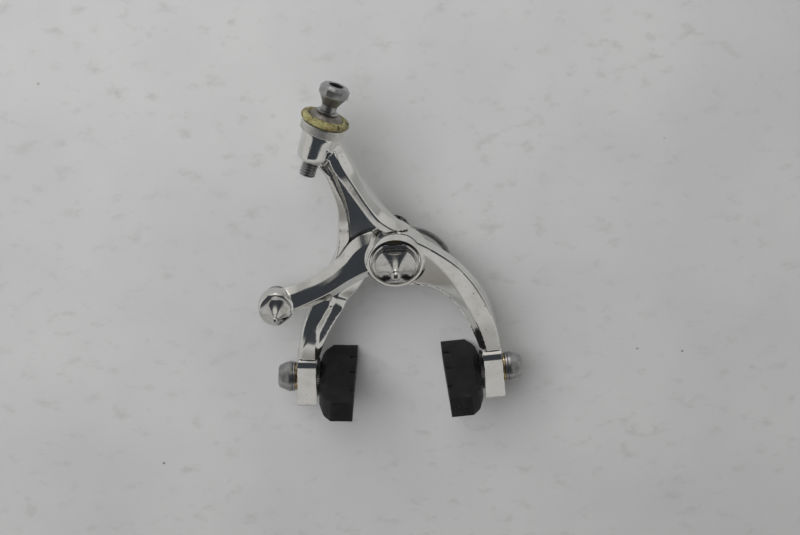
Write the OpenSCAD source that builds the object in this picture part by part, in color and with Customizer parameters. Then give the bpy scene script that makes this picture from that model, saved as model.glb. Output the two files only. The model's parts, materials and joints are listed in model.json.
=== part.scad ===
/* [Mounting] */
// Diameter of the mounting stud behind the seat
stud_d = 6; // [5:0.5:6]
// Length of the mounting stud behind the seat
stud_len = 12.4; // [12:0.2:40]
// Diameter of the toothed washer on the stud
toothed_d = 11.6; // [10:0.2:14]
// Thickness of the toothed washer
toothed_t = 3; // [2:0.1:5]
// Distance of the toothed washer's front face behind the seat
toothed_y = 5; // [4:0.5:7]

/* [Pivot] */
// Diameter of the pivot pin inside the arms
pivot_d = 8; // [7:0.5:9]
// Radial clearance of a running fit
fit = 0.05; // [0.02:0.01:0.1]
// Running gap between the two arms
arm_gap = 0.6; // [0.5:0.1:1]
// Thickness of the spring carrier
carrier_t = 4.6; // [4:0.2:6]
// Width of the spring carrier
carrier_w = 13; // [12:0.5:16]
// Thickness of the pivot washers
washer_t = 0.6; // [0.5:0.1:0.6]
// Thickness of the rear arm's hub
rear_hub_t = 6.2; // [5.6:0.2:8]
// Thickness of the front arm's hub
front_hub_t = 6; // [5.6:0.2:8]
// Radius of the front arm's hub
hub_r = 12.8; // [12.6:0.1:13]
// Clearance round the lock ring in the front hub's counterbore
sink_gap = 0.5; // [0.3:0.1:0.8]
// Depth of the counterbore
sink_depth = 2.4; // [2:0.1:3]
// Diameter of the spring wire
spring_d = 2; // [1.6:0.1:2.2]

/* [Nose nut] */
// Diameter of the flanged lock ring
lock_d = 17.4; // [16.6:0.1:17.6]
// Thickness of the lock ring
lock_t = 2.5; // [2:0.1:3]
// Diameter of the nose nut
nose_d = 15; // [13:0.2:16]
// Distance across the nose nut's flats
nose_flats = 12; // [11:0.2:14]
// Height of the nut's cylindrical part
nose_band = 2; // [1.5:0.1:3]
// Height of the nut's cone
nose_cone = 5; // [4:0.2:7]
// Diameter of the ball tip
nose_ball_d = 4; // [3:0.1:5]

/* [Cable anchor] */
// Distance of the anchor to the left of the pivot
anchor_x = 45; // [43:0.5:48]
// Distance of the anchor below the pivot
anchor_drop = 17.9; // [16:0.1:20]
// Diameter of the anchor boss
anchor_boss_d = 13.6; // [13:0.2:15]
// Diameter of the anchor bolt
anchor_bolt_d = 5; // [4:0.5:6]
// Diameter of the anchor nut
anchor_nut_d = 11.7; // [10:0.1:12.4]
// Diameter of the cable hole
cable_hole_d = 2; // [1.8:0.1:2.4]

/* [Adjuster] */
// Distance of the adjuster boss to the left of the pivot
adj_x = 26; // [24:0.5:28]
// Height of the adjuster boss above the pivot
adj_z = 45; // [42:0.5:48]
// Lean of the adjuster to the right
adj_lean = 21; // [15:1:25]
// Backward tilt of the adjuster
adj_tilt = 8; // [0:1:12]
// Diameter of the adjuster boss
adj_boss_d = 13; // [12.4:0.1:14]
// Length of the adjuster boss
adj_boss_len = 11; // [10:0.2:13]
// Diameter of the threaded barrel
barrel_d = 6; // [5:0.5:7]
// Length of thread that stands out below the boss
barrel_out = 5.9; // [2:0.1:8]
// Diameter of the knurled nut
adj_nut_d = 15.6; // [15:0.2:17]
// Thickness of the knurled nut's flange
adj_nut_t = 3.5; // [2:0.1:4]
// Thickness of the rubber ring
o_ring_t = 3; // [2.4:0.1:3.2]
// Outer diameter of the rubber ring
o_ring_d = 17.6; // [17:0.1:19]
// Diameter of the barrel's head
head_d = 10.6; // [9:0.2:12]
// Length of the barrel's neck below the head
neck_len = 2.2; // [2:0.1:4]
// Diameter of the seat for the cable housing
housing_d = 5.2; // [5:0.1:5.4]

/* [Pad eyes] */
// Height of the pad studs below the pivot
reach = 52.6; // [50:0.2:55]
// Distance of the pad eyes from the middle
eye_x = 35.9; // [35:0.1:38]
// Outward lean of the pad eyes
eye_lean = 4; // [0:0.5:6]
// Width of a pad eye
eye_w = 7.6; // [7:0.1:9]
// Height of a pad eye
eye_h = 21; // [19:0.5:24]
// Depth of a pad eye from front to back
eye_depth = 11; // [10:0.2:12]
// Length of the slot for the stud
slot_len = 13.6; // [11:0.2:15]

/* [Brake shoes] */
// Diameter of the pad stud
pad_stud_d = 6; // [5:0.5:6]
// Length of the brake pad from front to back
pad_len = 39; // [35:1:50]
// Height of the brake pad
pad_h = 8.6; // [7:0.1:11]
// Thickness of the brake pad at its back end
pad_t = 14.4; // [12:0.2:15]
// Taper of the friction face
pad_toe = 2.6; // [0:0.1:4]
// How far the pad's middle lies in front of its stud
pad_forward = 4; // [0:0.5:6]
// Diameter of the serrated washer
serrated_d = 15; // [13:0.5:16]
// Thickness of the serrated washer
serrated_t = 1.1; // [0.8:0.1:2]
// Large diameter of the pad nut
pad_nut_d = 11.8; // [10:0.2:13]
// Length of the pad nut
pad_nut_len = 5.4; // [5:0.2:8]

/* [Hidden] */
$fn = 64;

// Depths along the bolt, from the seat at 0 towards the front
rear_washer_y = carrier_t;
rear_hub_y = rear_washer_y + washer_t;
middle_washer_y = rear_hub_y + rear_hub_t;
front_hub_y = middle_washer_y + arm_gap;
face_y = front_hub_y + front_hub_t;
sink_y = face_y - sink_depth;
lock_y = sink_y + washer_t;
nose_y = lock_y + lock_t;

// Hub and arms
rear_hub_r = hub_r - 0.2;
nest_r = hub_r + 0.45;
rear_boss_r = 9.4;
sink_d = lock_d + 2 * sink_gap;
rim_r = sink_d / 2 + 0.7;
eye_front = face_y - 0.5;
eye_back = eye_front - eye_depth;
arm_front = face_y - 0.7;
eye_y = eye_front - eye_depth / 2;
eps = 0.01;

// A solid of revolution about the bolt's direction, from depth 0 towards the front
module turn_front(profile, angle = 360) {
    rotate([90, 0, 0]) rotate_extrude(angle = angle) polygon(profile);
}

// A disc across the bolt, from one depth to another
module disc(d, from, to, fn = 64) {
    translate([0, -from, 0]) rotate([90, 0, 0]) cylinder(d = d, h = to - from, $fn = fn);
}

// Places a child in the frame of the adjuster: origin at the top of the boss, z along the barrel
module on_adjuster() {
    translate([-adj_x, -eye_y + 1, adj_z]) rotate([-adj_tilt, 0, 0]) rotate([0, adj_lean, 0])
        translate([0, 0, adj_boss_len / 2]) children();
}

// Places a child at a pad eye: origin on the stud's axis in the eye's inner face, x towards the middle
module at_eye(side) {
    mirror([side > 0 ? 1 : 0, 0, 0])
        translate([-eye_x, -eye_y, -reach]) rotate([0, eye_lean, 0]) translate([eye_w / 2, 0, 0]) children();
}

// Curves through a list of stations
function through(a, b, c, d, t) =
    0.5 * (2 * b + (c - a) * t + (2 * a - 5 * b + 4 * c - d) * t * t + (3 * b - a - 3 * c + d) * t * t * t);
function at(list, i) = list[max(0, min(len(list) - 1, i))];
function smooth(list, steps) = [
    for (i = [0:len(list) - 2], k = [0:steps - 1])
        through(at(list, i - 1), list[i], list[i + 1], at(list, i + 2), k / steps),
    list[len(list) - 1]
];

// A station of a limb: x, z, half width, front depth on the left and right, valley depth, back depth,
// place of the ridge across the limb, fall from the ridge to the edge below it, squareness
parting = 0.38;
function sx(s) = s[0];
function sz(s) = s[1];
function half_width(s) = s[2];
function front_at(s, a) =
    let (rise = s[3] + (s[4] - s[3]) * (a + 1) / 2,
         below = a < s[7] ? (s[7] - a) / (s[7] + 1) : 0,
         valley = max(0, 1 - pow(abs(a - 0.05) / 0.66, 3)))
    rise - s[8] * below - s[5] * valley;
function back_at(s) = s[6];
function round_off(a, p) = pow(max(0, 1 - pow(abs(a), p)), 1 / p);
function ring_profile(s, n) =
    let (top = (s[3] + s[4]) / 2 - s[8] / 2, mid = top + (back_at(s) - top) * parting)
    concat(
        [for (i = [0:n]) let (a = -cos(180 * i / n)) [a, mid + (front_at(s, a) - mid) * round_off(a, s[9])]],
        [for (i = [1:n - 1]) let (a = cos(180 * i / n)) [a, mid + (back_at(s) - mid) * round_off(a, 2)]]
    );
function heading(path, i) =
    let (d = [sx(at(path, i + 1)) - sx(at(path, i - 1)), sz(at(path, i + 1)) - sz(at(path, i - 1))])
    d / norm(d);

// Faces of a tube of rings with count points each: one cell between two rings, and the two ends
function tube_cell(i, k, count) =
    let (a = i * count + k, b = i * count + (k + 1) % count)
    [[a, b, b + count], [a, b + count, a + count]];
function tube_ends(rings, count) = concat(
    [for (k = [1:count - 2]) [0, k + 1, k]],
    [for (k = [1:count - 2]) let (a = (rings - 1) * count) [a, a + k, a + k + 1]]
);

// A limb lofted through its stations
module limb(stations, steps = 4, n = 10) {
    path = smooth(stations, steps);
    count = 2 * n;
    points = [
        for (i = [0:len(path) - 1])
            let (s = path[i], h = heading(path, i))
            for (p = ring_profile(s, n))
                [sx(s) - h[1] * p[0] * half_width(s), -p[1], sz(s) + h[0] * p[0] * half_width(s)]
    ];
    sides = [
        for (i = [0:len(path) - 2], k = [0:count - 1])
            for (t = tube_cell(i, k, count)) t
    ];
    polyhedron(points, concat(tube_ends(len(path), count), sides), convexity = 6);
}

limb_back = front_hub_y + 0.15;

// Left limb of the front arm, from the hub to the cable anchor
anchor_limb = [
    [2, 1, 11, arm_front, arm_front, 0, limb_back, -0.2, 3, 4],
    [-9, 1.2, 8.8, arm_front, arm_front, 0, limb_back, 0, 3, 3.6],
    [-17, -4.2, 6, arm_front, arm_front, 0, limb_back, 0, 3.5, 3],
    [-26, -10.6, 5.2, arm_front, arm_front, 0, limb_back, 0, 3.5, 2.6],
    [-35, -15, 5.1, arm_front, arm_front, 0, limb_back, 0, 3, 2.8],
    [-anchor_x + 1, -anchor_drop + 0.3, 5.2, arm_front, arm_front, 0, limb_back, 0, 2, 3]
];

// Right limb of the front arm, from the hub to the pad eye
right_limb = [
    [0, 0, 12, arm_front, arm_front, 0, limb_back, 0, 3, 5],
    [9.5, -3.4, 9.6, arm_front, arm_front, 0, limb_back, 0.1, 3.5, 5],
    [17.4, -7.8, 7.6, arm_front, arm_front, 0, limb_back, 0.1, 4, 5],
    [23.4, -13.8, 6.3, arm_front, arm_front, 0, limb_back - 1, 0.05, 4, 5],
    [28, -21.2, 5.5, arm_front, arm_front, 0, eye_back + 1.2, 0, 4.4, 4.6],
    [31.5, -29.4, 4.9, arm_front - 0.4, arm_front - 0.4, 0, eye_back + 0.6, -0.1, 4, 4.4],
    [33.8, -37.4, 4.3, arm_front - 1.4, arm_front - 1.4, 0, eye_back + 0.6, -0.2, 2, 4.4],
    [eye_x - 0.7, -45, 3.4, arm_front - 2, arm_front - 2, 0, eye_back + 0.8, -0.2, 1, 5]
];

// The rear arm's long limb, from the adjuster boss past the hub to the left pad eye
rear_top = middle_washer_y;
rear_limb = [
    [-adj_x + 1.8, adj_z - 1.5, 3.5, arm_front - 1, arm_front - 0.6, 0, rear_hub_y + 1.4, 0, 0, 3],
    [-19.4, 36.6, 4.1, arm_front - 0.4, arm_front, 1.2, rear_hub_y + 1.2, 0, 0, 3],
    [-16.8, 29.6, 4.7, arm_front - 0.6, arm_front, 4.2, rear_hub_y + 1, 0, 0, 3.2],
    [-14.2, 22.4, 6, arm_front - 1.6, arm_front, 5, rear_hub_y + 0.8, 0, 0, 3.6],
    [-12.8, 15, 7.4, rear_top, rear_top, 0, rear_hub_y + 0.8, 0, 0, 4],
    [-13, 7.5, 7.6, rear_top, rear_top, 0, rear_hub_y + 0.6, 0, 0, 5],
    [-14.9, -1.5, 7.3, rear_top, rear_top, 0, rear_hub_y + 0.6, 0, 0, 5],
    [-19.6, -10.5, 6.9, rear_top, rear_top, 0, rear_hub_y + 0.6, 0, 0, 4],
    [-25.6, -19.6, 6, rear_top - 0.2, rear_top - 0.2, 0, rear_hub_y + 0.6, 0, 0, 3.4],
    [-30.4, -28.6, 5.2, eye_front - 2.4, eye_front - 3.4, 0, rear_hub_y + 1, 0, 0, 3.4],
    [-33.4, -37, 4.5, eye_front - 1.8, eye_front - 2.2, 0, eye_back + 0.6, 0, 0, 4],
    [-eye_x + 0.7, -45, 3.4, eye_front - 2, eye_front - 2, 0, eye_back + 0.8, 0, 0, 5]
];

// The shoulder of the rear arm that wraps round the top of the front hub
shoulder = [
    [-14.6, 28, 1.6, arm_front - 1, arm_front - 1, 0, middle_washer_y - 0.6, 0, 0, 3],
    [-10.4, 21.6, 2.4, arm_front, arm_front, 0, middle_washer_y - 1, 0, 0, 3],
    [-5.6, 16, 2.6, arm_front + 0.3, arm_front + 0.3, 0, middle_washer_y - 1, 0, 0, 4],
    [-0.4, 13.6, 2.2, arm_front + 0.4, arm_front + 0.4, 0, middle_washer_y - 1, 0, 0, 5],
    [3.2, 12, 1.5, arm_front + 0.3, arm_front + 0.3, 0, middle_washer_y - 1, 0, 0, 5],
    [5.6, 10.7, 0.9, arm_front, arm_front, 0, middle_washer_y - 1, 0, 0, 4]
];

// Pad eye: a flat block with its front top edge rounded, without its slot
module pad_eye() {
    h = eye_h / 2;
    d = eye_depth / 2;
    r = 3;
    outline = concat(
        [[d, -h + 0.6], [d - 0.6, -h], [-d + 0.6, -h], [-d, -h + 0.6]],
        [for (k = [0:6]) [-d + r - r * cos(15 * k), h - r + r * sin(15 * k)]],
        [for (k = [0:3]) [d - 2 + 2 * sin(30 * k), h - 2 + 2 * cos(30 * k)]]
    );
    translate([-eye_w / 2, 0, 0]) rotate([90, 0, 90]) linear_extrude(eye_w, center = true) polygon(outline);
}

// Slot for the pad stud, cut right through a pad eye
slot_w = pad_stud_d + 0.4;
shoe_travel = (slot_len - slot_w) / 2;
module pad_slot() {
    translate([-eye_w / 2, 0, 0]) {
        cube([eye_w + 2, slot_w, 2 * shoe_travel], center = true);
        for (z = [-shoe_travel, shoe_travel])
            translate([0, 0, z]) rotate([0, 90, 0]) cylinder(d = slot_w, h = eye_w + 2, center = true);
    }
}

// Spot face that the serrated washer slides on along the slot
module spot_face() {
    r = serrated_d / 2 + sink_gap;
    hull()
        for (z = [-shoe_travel, shoe_travel])
            translate([0, 0, z]) rotate([0, 90, 0]) cylinder(r = r, h = eye_w);
}

module front_arm() {
    color("silver") difference() {
        union() {
            intersection() {
                turn_front([
                    [0, front_hub_y + 1], [hub_r - 0.05, front_hub_y + 1], [hub_r - 0.05, face_y - 0.9],
                    [hub_r - 0.4, face_y - 0.5], [0, face_y - 0.5]
                ]);
                translate([-hub_r - 1, -face_y - 1, -1]) cube([2 * hub_r + 2, face_y, hub_r + 3]);
            }
            turn_front([
                [0, front_hub_y], [hub_r, front_hub_y], [hub_r, face_y - 4], [rim_r + 0.5, face_y - 0.4],
                [rim_r, face_y + 0.5], [0, face_y + 0.5]
            ]);
            limb(anchor_limb, steps = 3);
            limb(right_limb);
            translate([-anchor_x, 0, -anchor_drop]) turn_front([
                [0, front_hub_y], [anchor_boss_d / 2 - 1, front_hub_y], [anchor_boss_d / 2, front_hub_y + 1],
                [anchor_boss_d / 2, face_y - 1], [anchor_boss_d / 2 - 0.6, face_y - 0.1],
                [anchor_boss_d / 2 - 1, face_y], [0, face_y]
            ]);
            at_eye(1) pad_eye();
            spring_lug(1, front_hub_y + 1);
        }
        disc(pivot_d + 2 * fit, front_hub_y - 1, face_y + 1);
        disc(sink_d, sink_y, face_y + 3);
        translate([-anchor_x, 0, -anchor_drop]) disc(anchor_bolt_d + 2 * fit, front_hub_y - 1, face_y + 1);
        at_eye(1) {
            pad_slot();
            spot_face();
        }
    }
}

module rear_arm() {
    color("silver") difference() {
        union() {
            turn_front([
                [0, rear_hub_y], [rear_boss_r, rear_hub_y], [rear_boss_r + 1.2, rear_hub_y + 1.2],
                [rear_hub_r - 1, middle_washer_y - 2.4], [rear_hub_r, middle_washer_y - 0.6],
                [rear_hub_r, middle_washer_y], [0, middle_washer_y]
            ]);
            limb(rear_limb, steps = 3);
            difference() {
                limb(shoulder, steps = 3, n = 7);
                disc(2 * nest_r, middle_washer_y, face_y + 2);
            }
            on_adjuster() rotate_extrude() polygon(concat(
                [[0, 0], [0, -adj_boss_len]],
                [for (k = [0:4]) [
                    adj_boss_d / 2 - 3.1 + 2.4 * sin(22.5 * k), -adj_boss_len + 2.4 - 2.4 * cos(22.5 * k)
                ]],
                [[adj_boss_d / 2, -1.5], [adj_boss_d / 2, 0]]
            ));
            at_eye(-1) pad_eye();
            spring_lug(-1, rear_hub_y + 3);
        }
        disc(pivot_d + 2 * fit, rear_hub_y - 1, middle_washer_y + 1);
        on_adjuster() translate([0, 0, -adj_boss_len - 3]) cylinder(d = barrel_d + 2 * fit, h = adj_boss_len + 6);
        at_eye(-1) {
            pad_slot();
            spot_face();
        }
    }
}

// Peg on the back of an arm that the spring's leg presses on
lug_x = 22.2;
lug_z = -13;
lug_d = 3.6;
module spring_lug(side, to) {
    translate([side * lug_x, 0, lug_z]) disc(lug_d, 1, to, fn = 32);
}

// The stud's shank carries the toothed washer, and its thread starts behind a turned groove
thread_d = stud_d - 0.1;
shank_end = toothed_y + toothed_t + 0.2;
groove_len = 0.5;
nose_thread = nose_band + 2.4;
module centre_bolt() {
    color("dimgray") turn_front([
        [0, -stud_len], [thread_d / 2 - 0.8, -stud_len], [thread_d / 2, -stud_len + 0.8],
        [thread_d / 2, -shank_end - groove_len], [thread_d / 2 - 0.5, -shank_end - groove_len],
        [thread_d / 2 - 0.5, -shank_end], [stud_d / 2, -shank_end], [stud_d / 2, 0], [pivot_d / 2, 0],
        [pivot_d / 2, lock_y], [pivot_d / 2 - 0.5, lock_y], [pivot_d / 2 - 0.5, nose_y + nose_thread],
        [0, nose_y + nose_thread]
    ]);
}

module ring_of_teeth(r, depth, count, h) {
    linear_extrude(h) polygon([
        for (k = [0:count - 1])
            for (c = [[0, r - depth], [0.3, r], [0.7, r]])
                let (a = 360 * (k + c[0]) / count) [c[1] * cos(a), c[1] * sin(a)]
    ]);
}

module toothed_washer() {
    color("dimgray") translate([0, toothed_y, 0]) rotate([-90, 0, 0]) difference() {
        union() {
            ring_of_teeth(toothed_d / 2, 0.9, 13, toothed_t - 0.5);
            cylinder(d = toothed_d - 1.5, h = toothed_t - eps);
            translate([0, 0, toothed_t - 0.7]) cylinder(d = toothed_d + 0.2, h = 0.7);
        }
        translate([0, 0, -1]) cylinder(d = stud_d + 2 * fit, h = toothed_t + 2);
    }
}

module spring_carrier() {
    wire_slot = spring_d + 0.2;
    low = pivot_d / 2 + 2.2;
    top = wire_z + spring_d / 2 + 0.3;
    color("dimgray") difference() {
        intersection() {
            translate([-carrier_w / 2, -carrier_t, -low]) cube([carrier_w, carrier_t, low + top]);
            disc(carrier_w + 2.5, -1, carrier_t + 1);
        }
        disc(pivot_d + 2 * fit, -1, carrier_t + 1);
        translate([-carrier_w, -carrier_t / 2 - wire_slot / 2, wire_z - wire_slot / 2])
            cube([2 * carrier_w, wire_slot, spring_d * 2]);
    }
}

// Spring wire, bent symmetrically
wire_z = pivot_d / 2 + spring_d / 2 + 0.35;
spring_half = [[0, wire_z], [5, wire_z], [8.4, 4.7], [12, 3.3], [15.8, 0.3], [18.8, -3.6], [19.7, -8], [19.3, -13.6]];
module return_spring() {
    depth = carrier_t / 2;
    route = concat([for (k = [len(spring_half) - 1:-1:1]) [-spring_half[k][0], spring_half[k][1]]], spring_half);
    path = smooth(route, 2);
    count = 8;
    points = [
        for (i = [0:len(path) - 1])
            let (d = at(path, i + 1) - at(path, i - 1), h = d / norm(d))
            for (k = [0:count - 1])
                let (a = 360 * (k + 0.5) / count, c = cos(a) * spring_d / 2, s = sin(a) * spring_d / 2)
                [path[i][0] - h[1] * c, -depth - s, path[i][1] + h[0] * c]
    ];
    sides = [
        for (i = [0:len(path) - 2], k = [0:count - 1])
            for (t = tube_cell(i, k, count)) t
    ];
    color("darkslategray") polyhedron(points, concat(tube_ends(len(path), count), sides), convexity = 4);
}

module pivot_washer(from, d) {
    color("goldenrod") difference() {
        disc(d, from, from + washer_t);
        disc(pivot_d + 2 * fit, from - 1, from + washer_t + 1);
    }
}
module rear_pivot_washer() { pivot_washer(rear_washer_y, pivot_d * 2); }
module middle_pivot_washer() { pivot_washer(middle_washer_y, pivot_d * 2 + 2); }
module front_pivot_washer() { pivot_washer(sink_y, lock_d - 0.6); }

// Two flats left by cutting away what lies outside them
module flats(across, from, to, turn = 0) {
    rotate([0, turn, 0]) translate([-20, -to, -across / 2]) cube([40, to - from, across]);
}

module lock_ring() {
    color("gainsboro") difference() {
        intersection() {
            turn_front([
                [0, lock_y], [lock_d / 2, lock_y], [lock_d / 2, nose_y - 0.5], [lock_d / 2 - 0.5, nose_y], [0, nose_y]
            ]);
            flats(lock_d - 1.6, lock_y - 1, nose_y + 1);
        }
        disc(pivot_d - 1 + 2 * fit, lock_y - 1, nose_y + 1);
    }
}

// A conical nut: band, cone and ball tip in one turned solid, with two flats
module conical_nut(d, across, band, cone, ball, from, turn, bore, bore_depth) {
    tip = from + band + cone;
    difference() {
        union() {
            intersection() {
                turn_front([
                    [0, from], [d / 2 - 0.4, from], [d / 2, from + 0.4], [d / 2, from + band],
                    [d * 0.31, from + band + cone * 0.42], [ball * 0.36, tip + ball * 0.15], [0, tip + ball * 0.15]
                ]);
                flats(across, from - 1, tip + ball, turn);
            }
            translate([0, -tip - ball * 0.3, 0]) sphere(d = ball, $fn = 32);
        }
        disc(bore, from - 1, from + bore_depth);
    }
}

module nose_nut() {
    color("gainsboro") conical_nut(nose_d, nose_flats, nose_band, nose_cone, nose_ball_d, nose_y, 0,
        pivot_d - 1 + 2 * fit, nose_thread + 0.1);
}

nut_seat_y = face_y;
module anchor_nut() {
    color("gainsboro") translate([-anchor_x, 0, -anchor_drop])
        conical_nut(anchor_nut_d, anchor_nut_d - 2.2, 1.8, 4.2, 2.5, nut_seat_y, -45,
            anchor_bolt_d + 2 * fit, 3.3);
}

washer_out = 1;
head_len = 4.2;
module cable_washer() {
    color("silver") translate([-anchor_x, 0, -anchor_drop]) difference() {
        disc(8.8, front_hub_y - washer_out, front_hub_y);
        disc(anchor_bolt_d + 2 * fit, front_hub_y - washer_out - 1, front_hub_y + 1);
    }
}

module anchor_bolt() {
    back = front_hub_y - washer_out;
    color("gray") translate([-anchor_x, 0, -anchor_drop]) difference() {
        union() {
            disc(anchor_bolt_d, back - 1, nut_seat_y + 3.2);
            turn_front([
                [0, back - head_len], [3.4, back - head_len], [4.1, back - head_len + 0.7],
                [4.1, back], [0, back]
            ]);
        }
        translate([0, -(back - cable_hole_d / 2 - 0.6), 0]) rotate([0, 90, 0])
            cylinder(d = cable_hole_d, h = 20, center = true, $fn = 32);
    }
}

// Heights along the adjuster, from the top of the boss
ring_r = (o_ring_d - o_ring_t) / 2;
nut_hub_d = 2 * ring_r - o_ring_t - 0.1;
cap_z = adj_nut_t + o_ring_t * 0.72;
cap_t = 1.9;
cap_r = ring_r - 1.2;
shoulder_z = cap_z + cap_t;

module adjuster_nut() {
    color("lightgray") on_adjuster() difference() {
        union() {
            translate([0, 0, 0.4]) ring_of_teeth(adj_nut_d / 2, 0.25, 44, adj_nut_t - 0.8);
            cylinder(d = adj_nut_d - 0.8, h = adj_nut_t);
            cylinder(d = nut_hub_d, h = cap_z);
        }
        translate([0, 0, -1]) cylinder(d = barrel_d + 2 * fit, h = cap_z + 2);
    }
}

module adjuster_cap() {
    color("dimgray") on_adjuster() difference() {
        translate([0, 0, cap_z]) rotate_extrude() polygon([
            [0, 0], [cap_r - 0.25, 0], [cap_r, 0.35], [cap_r - 0.5, 1], [cap_r - 1.5, 1.5], [cap_r - 2.2, cap_t],
            [0, cap_t]
        ]);
        translate([0, 0, cap_z - 1]) cylinder(d = barrel_d + 2 * fit, h = cap_t + 2);
    }
}

module adjuster_o_ring() {
    color("darkkhaki") on_adjuster() translate([0, 0, adj_nut_t + o_ring_t / 2])
        rotate_extrude() translate([ring_r, 0]) circle(d = o_ring_t, $fn = 32);
}

module adjuster_barrel() {
    neck_z = shoulder_z + 0.9;
    cone_z = neck_z + neck_len;
    band_z = cone_z + 3.9;
    top_z = band_z + 3.3;
    color("gray") on_adjuster() difference() {
        union() {
            translate([0, 0, -adj_boss_len - barrel_out]) cylinder(d1 = barrel_d - 1.2, d2 = barrel_d, h = 0.6);
            translate([0, 0, -adj_boss_len - barrel_out + 0.6])
                cylinder(d = barrel_d, h = adj_boss_len + barrel_out - 0.6 + shoulder_z);
            translate([0, 0, shoulder_z]) cylinder(d = barrel_d + 1.8, h = 0.9);
            intersection() {
                rotate_extrude() polygon([
                    [0, neck_z], [barrel_d / 2 - 0.1, neck_z], [barrel_d / 2 - 0.1, cone_z], [head_d / 2, band_z],
                    [head_d / 2, top_z - 1.1], [head_d / 2 - 1.1, top_z], [0, top_z]
                ]);
                translate([0, 0, neck_z]) cylinder(d = head_d + 0.1, h = 20, $fn = 12);
            }
        }
        translate([0, 0, top_z - 8]) cylinder(d = housing_d, h = 9);
        translate([0, 0, -40]) cylinder(d = cable_hole_d + 0.2, h = 60, $fn = 32);
    }
}

// Distances from an eye's inner face towards the middle; outward ones are negative
nut_gap = 0.1;
brass_x = -eye_w - nut_gap;
brass_t = 0.8;
steel_t = 1;
steel_x = brass_x - brass_t;
pad_nut_x = steel_x - steel_t;

// A disc across the pad stud
module stud_disc(d, from, to, fn = 64) {
    translate([from, 0, 0]) rotate([0, 90, 0]) cylinder(d = d, h = to - from, $fn = fn);
}

module serrated_washer() {
    difference() {
        rotate([0, 90, 0]) ring_of_teeth(serrated_d / 2, 0.7, 24, serrated_t);
        stud_disc(pad_stud_d + 2 * fit, -1, serrated_t + 1);
    }
}

module plain_washer(d, from, t) {
    difference() {
        stud_disc(d, from - t, from);
        stud_disc(pad_stud_d + 2 * fit, from - t - 1, from + 1);
    }
}

module pad_nut() {
    back = pad_nut_x - pad_nut_len;
    difference() {
        rotate([0, -90, 0]) rotate_extrude() polygon([
            [0, -pad_nut_x], [pad_nut_d / 2 - 0.3, -pad_nut_x], [pad_nut_d / 2, -pad_nut_x + 0.3],
            [pad_nut_d / 2 - 0.25, -pad_nut_x + 1.3], [pad_nut_d / 2 - 1.35, -back - 0.9],
            [pad_nut_d / 2 - 2, -back - 0.25], [pad_nut_d / 2 - 2.8, -back], [0, -back]
        ]);
        stud_disc(pad_stud_d + 2 * fit, pad_nut_x - pad_nut_len + 1.4, pad_nut_x + 1);
    }
}

module pad_stud() {
    stud_disc(pad_stud_d, pad_nut_x - pad_nut_len + 1.5, serrated_t);
    stud_disc(pad_stud_d + 3, serrated_t, serrated_t + 3);
}

// Brake pad: an outline in plan, rounded above and below, hollowed for the stud's foot
module brake_pad() {
    front = -pad_len / 2 - pad_forward;
    back = pad_len / 2 - pad_forward;
    face = serrated_t + pad_t;
    toe = pad_len * sin(pad_toe);
    plan = [
        [serrated_t, front + 9], [serrated_t + 1.6, front + 3.4], [serrated_t + 4.4, front],
        [face - toe, front], [face, back], [serrated_t + 5, back],
        [serrated_t + 1.2, back - 5], [serrated_t, back - 10]
    ];
    h = pad_h / 2;
    section = [
        [serrated_t, -h + 1.4], [serrated_t + 2, -h], [face + 1, -h], [face + 1, h], [serrated_t + 2, h],
        [serrated_t, h - 1.4]
    ];
    difference() {
        intersection() {
            linear_extrude(pad_h + 2, center = true) polygon(plan);
            translate([0, pad_len, 0]) rotate([90, 0, 0]) linear_extrude(2 * pad_len) polygon(section);
        }
        stud_disc(pad_stud_d + 3 + 2 * fit, 0, serrated_t + 3);
        for (y = [front + 8, front + 20, back - 8])
            translate([face - 3, y, h - 0.5]) cube([8, 1.4, 2]);
    }
}

module left_brake_pad() { color([0.1, 0.1, 0.1]) at_eye(-1) brake_pad(); }
module left_pad_stud() { color("gray") at_eye(-1) pad_stud(); }
module left_serrated_washer() { color("dimgray") at_eye(-1) serrated_washer(); }
module left_brass_washer() { color("goldenrod") at_eye(-1) plain_washer(pad_nut_d - 0.8, brass_x, brass_t); }
module left_steel_washer() { color("silver") at_eye(-1) plain_washer(pad_nut_d - 0.2, steel_x, steel_t); }
module left_pad_nut() { color("lightgray") at_eye(-1) pad_nut(); }

module right_brake_pad() { color([0.1, 0.1, 0.1]) at_eye(1) brake_pad(); }
module right_pad_stud() { color("gray") at_eye(1) pad_stud(); }
module right_serrated_washer() { color("dimgray") at_eye(1) serrated_washer(); }
module right_brass_washer() { color("goldenrod") at_eye(1) plain_washer(pad_nut_d - 0.8, brass_x, brass_t); }
module right_steel_washer() { color("silver") at_eye(1) plain_washer(pad_nut_d - 0.2, steel_x, steel_t); }
module right_pad_nut() { color("lightgray") at_eye(1) pad_nut(); }

centre_bolt();
toothed_washer();
spring_carrier();
return_spring();
rear_pivot_washer();
middle_pivot_washer();
front_pivot_washer();
lock_ring();
nose_nut();
rear_arm();
adjuster_nut();
adjuster_cap();
adjuster_o_ring();
adjuster_barrel();
front_arm();
anchor_bolt();
cable_washer();
anchor_nut();
left_brake_pad();
left_pad_stud();
left_serrated_washer();
left_brass_washer();
left_steel_washer();
left_pad_nut();
right_brake_pad();
right_pad_stud();
right_serrated_washer();
right_brass_washer();
right_steel_washer();
right_pad_nut();
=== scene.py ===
import json
import math

import bmesh
import bpy
from mathutils import Matrix, Vector
from mathutils.noise import noise


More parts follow.
